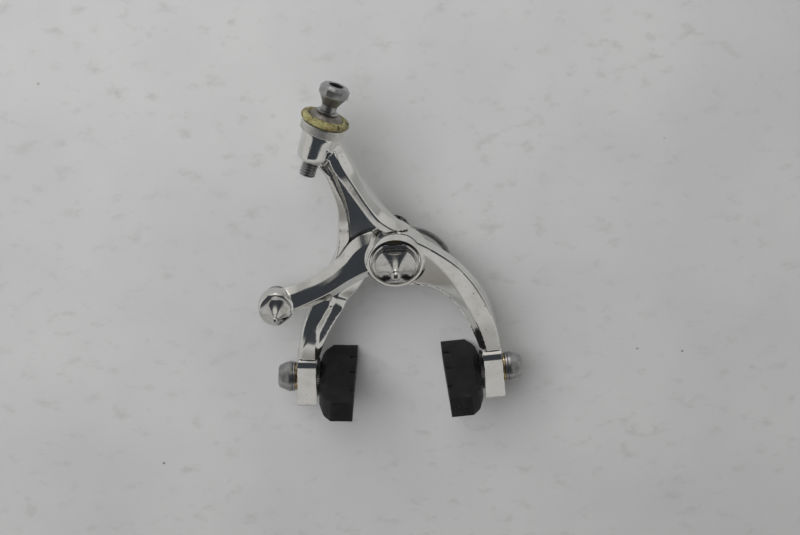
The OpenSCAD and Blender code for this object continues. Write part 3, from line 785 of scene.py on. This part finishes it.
def makePad(side):
    look, where = shoeLook, eyePlaces[side]
    start, h, toe = look["serratedThick"], look["padHeight"] / 2, look["toe"]
    face = start + look["padThick"]
    front, back = look["padLength"] / 2 + look["padForward"], -look["padLength"] / 2 + look["padForward"]
    plan = [
        (start, front - 9), (start + 1.6, front - 3.4), (start + 4.4, front), (face - toe, front),
        (face, back), (start + 5, back), (start + 1.2, back + 5), (start, back + 10),
    ]
    pad = prism(side + "_pad_moulded", plan, -h, h, where, axis=2)
    cuts = []
    for sign in (-1, 1):  # the back of the block is bevelled above and below
        slope = [(-1, h - 2.4), (start + 2.4, h + 0.01), (start + 2.4, h + 3), (-1, h + 3)]
        cuts.append(prism("slope", [(x, sign * z) for x, z in slope], -40, 40, where, axis=1))
    hole = look["studRadius"] + 0.1
    cuts.append(spun("studHole", [(0, -1), (hole, -1), (hole, 4.1), (0, 4.1)], acrossPlace(side), 48))
    half, deep = look["grooveHalf"], look["grooveDeep"]
    for y in (front - 8, front - 20, back + 8):  # three moulded grooves across the upper edge
        groove = [(y - half, h - deep), (y + half, h - deep), (y + half, h + 2), (y - half, h + 2)]
        cuts.append(prism("groove", groove, face - 3, face + 4, where, axis=0))
    cut(pad, cuts)
    bevelEdges(pad, 0.35, 25, 3)
    nubs = []
    for y, z, x in ((front - 0.2, -h * 0.4, start + 6.5), (back + 0.2, h * 0.55, start + 4.5)):
        # the feed points left by the mould
        sign = 1 if y > 0 else -1
        nubPlace = where @ place((x, y - sign * 0.3, z), (0, sign, 0))
        nubs.append(spun("nub", [(0, 0), (0.55, 0), (0.45, 0.6), (0.25, 0.9), (0, 0.95)], nubPlace, 16))
    return shade(joinPieces(side + "_pad_block", [pad] + nubs), 35)


def makeSerrated(side):
    look = shoeLook
    radius, thick, teeth = look["serratedRadius"], look["serratedThick"], look["teeth"]

    def tooth(r, angle, level):
        return r - look["toothDepth"] * (0.5 + 0.5 * math.cos(teeth * angle)) if r > radius - 0.6 else r

    return shade(spun(side + "_serrated_ring", [
        (m6Bore, 0.01), (radius - 0.5, 0.01), (radius - 0.05, 0.15), (radius - 0.05, thick - 0.15),
        (radius - 0.5, thick - 0.01), (m6Bore, thick - 0.01),
    ], acrossPlace(side), 288, closed=True, shape=tooth), 40)


def makeWashers(side):
    look, where = shoeLook, acrossPlace(side)
    brassTop = -armLook["eyeWidth"] - 0.1
    steelTop = brassTop - look["brassThick"]
    result = []
    for name, top, thick, radius in (
        ("_brass_ring", brassTop, look["brassThick"], look["nutRadius"] - 0.4),
        ("_steel_ring", steelTop, look["steelThick"], look["nutRadius"] - 0.1),
    ):
        low, high = top - thick + 0.02, top - 0.02
        result.append(shade(spun(side + name, [
            (m6Bore, low), (radius - 0.18, low), (radius, low + 0.18),
            (radius, high - 0.18), (radius - 0.18, high), (m6Bore, high),
        ], where, 96, closed=True), 30))
    return result


def makePadNut(side):
    look = shoeLook
    top = -armLook["eyeWidth"] - 0.1 - look["brassThick"] - look["steelThick"]
    radius, end = look["nutRadius"], top - look["nutLength"]
    profile = [
        (0, end + 1.4), (2.2, end + 1.4), (2.2, end + 0.25), (2.5, end + 0.02), (radius - 2.9, end),
        (radius - 2.1, end + 0.2), (radius - 1.5, end + 0.7), (radius - 1.0, end + 1.9),
        (radius - 0.35, end + 3.6), (radius - 0.05, top - 1.1), (radius, top - 0.85),
        (radius - 0.02, top - 0.3), (radius - 0.3, top - 0.02),
        (m6Bore, top - 0.02), (m6Bore, top - 0.4), (0, top - 0.4),
    ]
    return shade(spun(side + "_pad_nut_turned", profile, acrossPlace(side), 96), 32)


def makeStud(side):
    low, radius = -armLook["eyeWidth"] - 5.8, shoeLook["studRadius"] - 0.02
    return shade(spun(side + "_stud_turned", rounded([
        (0, low), (2.6, low), (radius, low + 0.4), (radius, 4), (0, 4),
    ], 0.15), acrossPlace(side), 64))


studs = {side: makeStud(side) for side in ("left", "right")}
pads = {side: makePad(side) for side in ("left", "right")}
serrated = {side: makeSerrated(side) for side in ("left", "right")}
washers = {side: makeWashers(side) for side in ("left", "right")}
padNuts = {side: makePadNut(side) for side in ("left", "right")}
print("stage: brake shoes made")


# Materials. Sizes in the textures are in millimetres.

def socket(material, name, value):
    material.node_tree.nodes["Principled BSDF"].inputs[name].default_value = value


def newMaterial(name, color, roughness, metallic=0.0):
    material = bpy.data.materials.new(name)
    material.use_nodes = True
    socket(material, "Base Color", (*color, 1))
    socket(material, "Roughness", roughness)
    socket(material, "Metallic", metallic)
    return material


def addNode(owner, kind, links=(), inputs=()):
    # owner: a material or the world; links and inputs pair a socket's name with what goes into it
    node = owner.node_tree.nodes.new("ShaderNode" + kind)
    for name, value in inputs:
        node.inputs[name].default_value = value
    for name, source in links:
        owner.node_tree.links.new(source, node.inputs[name])
    return node


def space(material, stretch=(1, 1, 1), turned=(0, 0, 0)):
    # object coordinates in millimetres, stretched for grain
    coords = addNode(material, "TexCoord")
    scale = tuple(1000 / s for s in stretch)
    mapping = addNode(material, "Mapping", [("Vector", coords.outputs["Object"])],
                      [("Scale", scale), ("Rotation", turned)])
    return mapping.outputs[0]


def grain(material, size, detail=4.0, stretch=(1, 1, 1), turned=(0, 0, 0), roughness=0.6):
    noiseNode = addNode(material, "TexNoise", [("Vector", space(material, stretch, turned))],
                        [("Scale", 1 / size), ("Detail", detail), ("Roughness", roughness)])
    return noiseNode.outputs["Fac"]


def spots(material, size, reach):
    # round pits or specks, 1 at the middle of each and 0 outside
    cells = addNode(material, "TexVoronoi", [("Vector", space(material))], [("Scale", 1 / size)])
    return remap(material, cells.outputs["Distance"], reach, reach * 0.35)


def remap(owner, source, low, high, toLow=0.0, toHigh=1.0):
    reach = addNode(owner, "MapRange", [("Value", source)],
                    [("From Min", low), ("From Max", high), ("To Min", toLow), ("To Max", toHigh)])
    return reach.outputs["Result"]


def combine(owner, operation, a, b):
    node = addNode(owner, "Math")
    node.operation = operation
    for index, value in enumerate((a, b)):
        if isinstance(value, (int, float)):
            node.inputs[index].default_value = value
        else:
            owner.node_tree.links.new(value, node.inputs[index])
    return node.outputs[0]


def tint(owner, mask, first, second):
    node = addNode(owner, "Mix")
    node.data_type = "RGBA"
    for name, value in (("A", first), ("B", second)):
        if isinstance(value, tuple):
            node.inputs[name].default_value = (*value, 1)
        else:
            owner.node_tree.links.new(value, node.inputs[name])
    owner.node_tree.links.new(mask, node.inputs["Factor"])
    return node.outputs["Result"]


def finishWith(material, color, roughness, bumps):
    # no roughness leaves the shader's own; bumps: what gives the height, millimetres, strength
    tree = material.node_tree
    shader = tree.nodes["Principled BSDF"]
    tree.links.new(color, shader.inputs["Base Color"])
    if roughness is not None:
        tree.links.new(roughness, shader.inputs["Roughness"])
    normal = None
    for height, distance, strength in bumps:
        bump = addNode(material, "Bump", [("Height", height)],
                       [("Distance", distance * mm), ("Strength", strength)])
        if normal is not None:
            tree.links.new(normal, bump.inputs["Normal"])
        normal = bump.outputs["Normal"]
    tree.links.new(normal, shader.inputs["Normal"])
    return material


def polishedAluminium():
    # hand-polished forging: faint waves, fine scratches in two directions, small pits, dull smudges
    mat = newMaterial("polishedAluminium", (0.8, 0.79, 0.77), 0.1, 1.0)
    smudge = remap(mat, grain(mat, 9, 5), 0.42, 0.68)
    fine = grain(mat, 0.35, 3, (1, 1, 14), (0, 0.5, 0.2))
    crossed = grain(mat, 0.3, 2, (12, 1, 1), (0.3, 0.2, -0.6))
    scratch = combine(mat, "MAXIMUM", remap(mat, fine, 0.68, 0.74), remap(mat, crossed, 0.7, 0.76))
    pit = combine(mat, "MULTIPLY", spots(mat, 1.7, 0.16), remap(mat, grain(mat, 6, 2), 0.5, 0.62))
    dulled = remap(mat, smudge, 0, 1, 0.09, 0.17)
    roughness = combine(mat, "ADD", dulled, combine(mat, "MULTIPLY", scratch, 0.12))
    metal = tint(mat, smudge, (0.77, 0.765, 0.75), (0.69, 0.68, 0.65))
    color = tint(mat, pit, metal, (0.3, 0.27, 0.22))
    return finishWith(mat, color, roughness, [
        (grain(mat, 4.5, 2), 0.05, 0.35), (scratch, -0.004, 0.5), (pit, -0.05, 0.8),
    ])


def satinAluminium():
    # the knurled nut: even fine grain, worn patches and brown dust
    mat = newMaterial("satinAluminium", (0.7, 0.69, 0.66), 0.38, 1.0)
    wear = remap(mat, grain(mat, 2.2, 4), 0.4, 0.7)
    dust = combine(mat, "MULTIPLY", spots(mat, 2.6, 0.2), wear)
    metal = tint(mat, wear, (0.72, 0.71, 0.68), (0.6, 0.585, 0.55))
    color = tint(mat, dust, metal, (0.42, 0.36, 0.26))
    return finishWith(mat, color, remap(mat, wear, 0, 1, 0.3, 0.46), [(grain(mat, 0.25, 2), 0.01, 0.6)])


def platedSteel(name, bright, dirt, roughness, dirtColor):
    # steel with a fine grain, specks of corrosion and a film of grime
    mat = newMaterial(name, bright, roughness, 1.0)
    film = remap(mat, grain(mat, 3.2, 5), 0.45, 0.7)
    speck = combine(mat, "MULTIPLY", spots(mat, 0.9, 0.2), remap(mat, grain(mat, 2.4, 2), 0.48, 0.6))
    color = tint(mat, speck, tint(mat, film, bright, dirt), dirtColor)
    dulled = remap(mat, film, 0, 1, roughness, roughness + 0.16)
    rough = combine(mat, "ADD", dulled, combine(mat, "MULTIPLY", speck, 0.3))
    return finishWith(mat, color, rough, [(grain(mat, 0.3, 3), 0.006, 0.5), (speck, -0.03, 0.7)])


def blackRubber():
    # moulded brake rubber: matt black with a dusty bloom and a fine open grain
    mat = newMaterial("brakeRubber", (0.018, 0.018, 0.019), 0.62)
    socket(mat, "Specular IOR Level", 0.22)
    bloom = remap(mat, grain(mat, 5, 6), 0.48, 0.78)
    specks = combine(mat, "MULTIPLY", spots(mat, 1.3, 0.14), remap(mat, grain(mat, 4, 2), 0.5, 0.6))
    black = tint(mat, bloom, (0.008, 0.008, 0.009), (0.022, 0.021, 0.02))
    color = tint(mat, specks, black, (0.14, 0.13, 0.11))
    return finishWith(mat, color, remap(mat, bloom, 0, 1, 0.55, 0.8), [
        (grain(mat, 0.4, 4), 0.03, 0.5), (grain(mat, 3, 3), 0.15, 0.3),
    ])


def agedRubber():
    # yellowed ring: olive and straw patches, brown dirt, black grease here and there
    mat = newMaterial("agedRubber", (0.33, 0.3, 0.14), 0.55)
    socket(mat, "Specular IOR Level", 0.4)
    patch = remap(mat, grain(mat, 2.6, 5), 0.4, 0.62)
    dirt = remap(mat, grain(mat, 1.1, 6, roughness=0.7), 0.46, 0.62)
    grease = remap(mat, grain(mat, 2.1, 4, turned=(0.4, 1.1, 0.3)), 0.6, 0.66)
    base = tint(mat, patch, (0.31, 0.3, 0.135), (0.2, 0.185, 0.08))
    color = tint(mat, grease, tint(mat, dirt, base, (0.13, 0.09, 0.035)), (0.02, 0.018, 0.012))
    return finishWith(mat, color, remap(mat, dirt, 0, 1, 0.42, 0.75), [
        (grain(mat, 0.9, 5), 0.12, 0.6), (dirt, 0.04, 0.5),
    ])


def agedBrass():
    # dull yellow washers under the nuts and at the pivot
    mat = newMaterial("agedBrass", (0.62, 0.42, 0.18), 0.28, 1.0)
    film = remap(mat, grain(mat, 1.6, 4), 0.42, 0.66)
    color = tint(mat, film, (0.6, 0.47, 0.25), (0.26, 0.19, 0.11))
    return finishWith(mat, color, remap(mat, film, 0, 1, 0.22, 0.42), [(grain(mat, 0.3, 3), 0.006, 0.5)])


def floorMaterial():
    # pale painted table: slightly uneven, with fine marks and sparse crumbs of dirt
    mat = newMaterial("floorGrey", (0.46, 0.465, 0.47), 0.75)
    cloud = remap(mat, grain(mat, 70, 5), 0.35, 0.65)
    marks = remap(mat, grain(mat, 5, 6, (1.6, 1, 1), (0, 0.7, 0)), 0.56, 0.74)
    crumbs = combine(mat, "MULTIPLY", spots(mat, 26, 0.026), remap(mat, grain(mat, 60, 2), 0.46, 0.52))
    paint = tint(mat, cloud, (0.52, 0.522, 0.52), (0.475, 0.48, 0.478))
    marked = tint(mat, marks, paint, (0.43, 0.432, 0.427))
    color = tint(mat, crumbs, marked, (0.1, 0.09, 0.075))
    finishWith(mat, color, None, [(grain(mat, 2.5, 4), 0.05, 0.3)])
    tree = mat.node_tree
    clear = addNode(mat, "BsdfTransparent")
    geometry = addNode(mat, "NewGeometry")
    mix = addNode(mat, "MixShader")
    tree.links.new(geometry.outputs["Backfacing"], mix.inputs[0])
    tree.links.new(tree.nodes["Principled BSDF"].outputs[0], mix.inputs[1])
    tree.links.new(clear.outputs[0], mix.inputs[2])
    tree.links.new(mix.outputs[0], tree.nodes["Material Output"].inputs[0])
    return mat


aluminium = polishedAluminium()
satin = satinAluminium()
chrome = platedSteel("chromedNuts", (0.62, 0.61, 0.6), (0.46, 0.44, 0.41), 0.12, (0.12, 0.09, 0.06))
satinSteel = platedSteel("satinSteel", (0.42, 0.42, 0.425), (0.27, 0.265, 0.26), 0.3, (0.1, 0.08, 0.06))
darkSteel = platedSteel("oiledSteel", (0.16, 0.16, 0.165), (0.07, 0.065, 0.06), 0.34, (0.03, 0.025, 0.02))
capSteel = platedSteel("tarnishedCap", (0.28, 0.265, 0.25), (0.17, 0.14, 0.11), 0.36, (0.12, 0.07, 0.04))
springSteel = platedSteel("springSteel", (0.27, 0.27, 0.28), (0.15, 0.145, 0.14), 0.3, (0.06, 0.045, 0.035))
brass = agedBrass()
padRubber = blackRubber()
ringRubber = agedRubber()


def dress(piece, material, body, *replaced):
    piece.data.materials.clear()
    piece.data.materials.append(material)
    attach(piece, body)
    if replaced:
        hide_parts(*replaced)


dress(frontArm, aluminium, "front_arm", "front_arm")
dress(rearArm, aluminium, "rear_arm", "rear_arm")
dress(noseNut, chrome, "mount", "nose_nut")
dress(lockRing, chrome, "mount", "lock_ring")
dress(anchorNut, chrome, "front_arm", "anchor_nut")
dress(adjusterNut, satin, "adjuster_nut", "adjuster_nut")
dress(rubberRing, ringRubber, "adjuster_nut", "adjuster_o_ring")
dress(adjusterCap, capSteel, "adjuster_nut", "adjuster_cap")
dress(adjusterBarrel, satinSteel, "adjuster_barrel", "adjuster_barrel")
dress(toothedWasher, darkSteel, "mount", "toothed_washer")
dress(spring, springSteel, "mount", "return_spring")
dress(bolt, satinSteel, "mount", "centre_bolt")
for side in ("left", "right"):
    dress(pads[side], padRubber, side + "_shoe", side + "_brake_pad")
    dress(studs[side], satinSteel, side + "_shoe", side + "_pad_stud")
    dress(serrated[side], darkSteel, side + "_washers", side + "_serrated_washer")
    dress(washers[side][0], brass, side + "_washers", side + "_brass_washer")
    dress(washers[side][1], satinSteel, side + "_washers", side + "_steel_washer")
    dress(padNuts[side], satinSteel, side + "_shoe", side + "_pad_nut")

carried = {
    "spring_carrier": darkSteel, "rear_pivot_washer": brass, "middle_pivot_washer": brass,
    "front_pivot_washer": brass, "cable_washer": satinSteel, "anchor_bolt": satinSteel,
}
for name, material in carried.items():
    nodes[name].data.materials.clear()
    nodes[name].data.materials.append(material)
print("stage: materials given")


# Floor, camera and light

# the brake lies on its stud and the ends of its pads
floorLook = {"size": 1600, "behind": 12.5, "tilt": -9.3}
# elevation and roll in degrees, distance in millimetres, scale in pixels to a millimetre
cameraLook = {
    "elevation": 31, "roll": 2.5, "distance": 520.0, "scale": 2.75,
    "aim": (0, -18.5, 0), "aimPixel": (395.3, 264.0), "picture": (800, 535), "sensor": 36,
}
lampLook = {"direction": (-0.35, -0.75, 0.65), "distance": 0.9, "size": (0.7, 0.7), "power": 8.0}
roomLook = {
    "walls": (0.56, 0.555, 0.54), "ground": (0.26, 0.25, 0.235), "dark": (0.045, 0.05, 0.058),
    "ceiling": (0.74, 0.72, 0.67), "window": (3.2, 3.2, 3.3), "backdrop": (0.48, 0.48, 0.475),
}


def makeFloor():
    # seen from behind it is clear, so that the back can be looked at
    size = floorLook["size"]
    where = Matrix.Translation((0, floorLook["behind"], 0))
    where = where @ Matrix.Rotation(math.radians(floorLook["tilt"]), 4, "X")
    corners = [(-size, 0, -size), (size, 0, -size), (size, 0, size), (-size, 0, size)]
    floor = makeObject("floor", [where @ Vector(v) for v in corners], [(0, 1, 2, 3)])
    if floor.data.polygons[0].normal.y > 0:
        floor.data.flip_normals()
    floor.data.materials.append(floorMaterial())


def makeCamera():
    # looks down at the lying brake, with a slight roll
    look = cameraLook
    elevation, roll = math.radians(look["elevation"]), math.radians(look["roll"])
    distance, scale, (wide, high) = look["distance"], look["scale"], look["picture"]
    back = Vector((0, -math.cos(elevation), math.sin(elevation)))
    right = Vector((1, 0, 0))
    up = Vector((0, math.sin(elevation), math.cos(elevation)))
    cameraRight = right * math.cos(roll) - up * math.sin(roll)
    cameraUp = right * math.sin(roll) + up * math.cos(roll)
    across, down = look["aimPixel"][0] - wide / 2, look["aimPixel"][1] - high / 2
    where = Vector(look["aim"]) + back * distance - cameraRight * (across / scale) + cameraUp * (down / scale)
    data = bpy.data.cameras.new("camera")
    data.sensor_width = look["sensor"]
    data.lens = scale * distance / wide * look["sensor"]
    data.clip_start = 0.01
    camera = bpy.data.objects.new("camera", data)
    rotation = Matrix((cameraRight, cameraUp, back)).transposed().to_4x4()
    camera.matrix_world = Matrix.Translation(where * mm) @ rotation
    bpy.context.scene.collection.objects.link(camera)
    bpy.context.scene.camera = camera


def makeLamp(name, look):
    # a soft lamp above, which shows in no reflection
    data = bpy.data.lights.new(name, "AREA")
    data.shape = "RECTANGLE"
    data.size, data.size_y = look["size"]
    data.energy = look["power"]
    lamp = bpy.data.objects.new(name, data)
    away = Vector(look["direction"]).normalized()
    lamp.location = away * look["distance"]
    lamp.rotation_euler = away.to_track_quat("Z", "Y").to_euler()
    lamp.visible_glossy = False
    bpy.context.scene.collection.objects.link(lamp)


def makeWorld():
    # a grey room for the polished metal: dark in front of the brake, a bright window far above its top
    world = bpy.data.worlds.new("studio")
    bpy.context.scene.world = world
    world.use_nodes = True

    def ramp(source, low, high):
        # 0 below low, 1 above high, smooth between
        reach = addNode(world, "MapRange", [("Value", source)], [("From Min", low), ("From Max", high)])
        reach.interpolation_type = "SMOOTHSTEP"
        return reach.outputs["Result"]

    def product(result, *sources):
        for source in sources:
            result = combine(world, "MULTIPLY", result, source)
        return result

    coords = addNode(world, "TexCoord")
    x, y, z = addNode(world, "SeparateXYZ", [(0, coords.outputs["Generated"])]).outputs
    wide = combine(world, "ABSOLUTE", x, 0)
    dark = product(ramp(z, -0.48, -0.42), ramp(z, 0.86, 0.74), ramp(wide, 0.74, 0.62), ramp(y, 0.1, -0.1))
    window = product(ramp(z, 0.965, 0.98), ramp(y, -0.1, 0.0), ramp(wide, 0.16, 0.12))
    ceiling = product(ramp(z, 0.8, 0.9), ramp(wide, 0.55, 0.4))
    look = roomLook
    color = tint(world, ramp(z, -0.5, -0.95), look["walls"], look["ground"])
    for mask, name in ((dark, "dark"), (ceiling, "ceiling"), (window, "window")):
        color = tint(world, mask, color, look[name])
    # the camera itself sees plain pale grey past the floor's edge and from behind
    seen = addNode(world, "LightPath")
    color = tint(world, seen.outputs["Is Camera Ray"], color, look["backdrop"])
    world.node_tree.links.new(color, world.node_tree.nodes["Background"].inputs["Color"])


makeFloor()
makeCamera()
makeWorld()
makeLamp("overhead", lampLook)
bpy.context.scene.view_settings.view_transform = "Standard"
print("stage: floor, camera and light ready")
